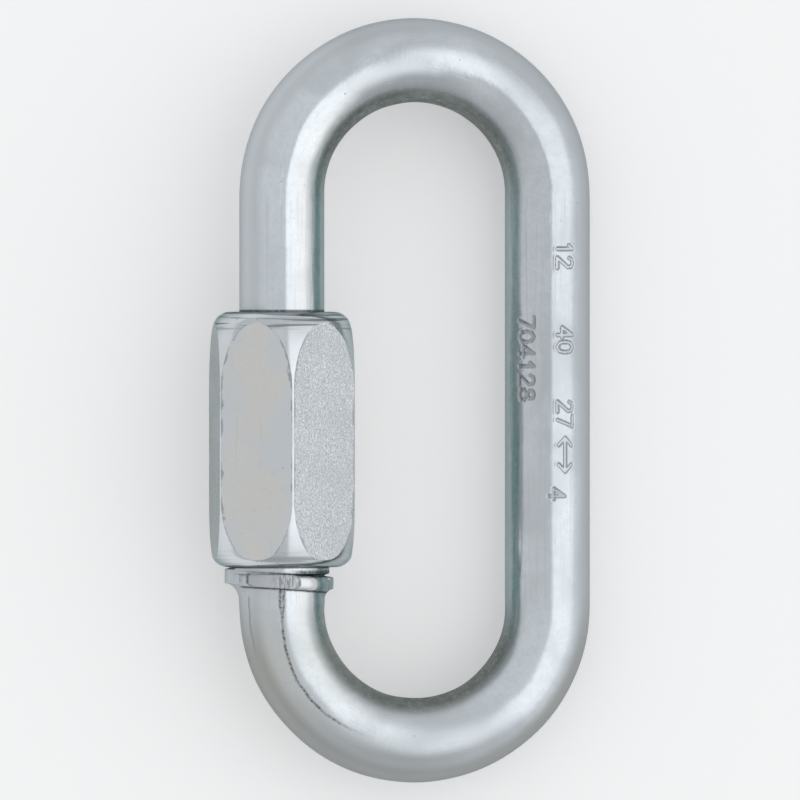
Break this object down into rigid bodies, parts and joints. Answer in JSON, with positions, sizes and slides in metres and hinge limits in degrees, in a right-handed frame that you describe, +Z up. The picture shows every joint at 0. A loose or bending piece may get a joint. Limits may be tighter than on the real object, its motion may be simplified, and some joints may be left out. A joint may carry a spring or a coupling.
{
  "type": "chain quick link",
  "caption": "Oval screw link of bent round bar: a long hexagon sleeve nut on one leg bridges the gate and screws back along the leg to open it.",
  "frame": {"origin": "middle of the link's box, on the surface that it lies on", "axes": "+X across the link from the sleeve to the bare leg, +Y along its length from the stop collar towards the sleeve's open end, +Z up"},
  "size_m": [0.0448, 0.09, 0.0182],
  "materials": {
    "bar_zinc": "bright zinc plate on drawn and bent steel bar, with a rough forging seam and a scuffed collar",
    "sleeve_zinc": "bright zinc plate over turned tapers and satin, finely pitted hexagon flats"
  },
  "bodies": {
    "link": {"link_body": "bar_zinc"},
    "sleeve": {"sleeve_nut": "sleeve_zinc"}
  },
  "joints": [
    {"name": "sleeve_travel", "type": "slide", "parent": "link", "child": "sleeve", "axis": [0, 1, 0], "range_m": [0, 0.0175]}
  ]
}
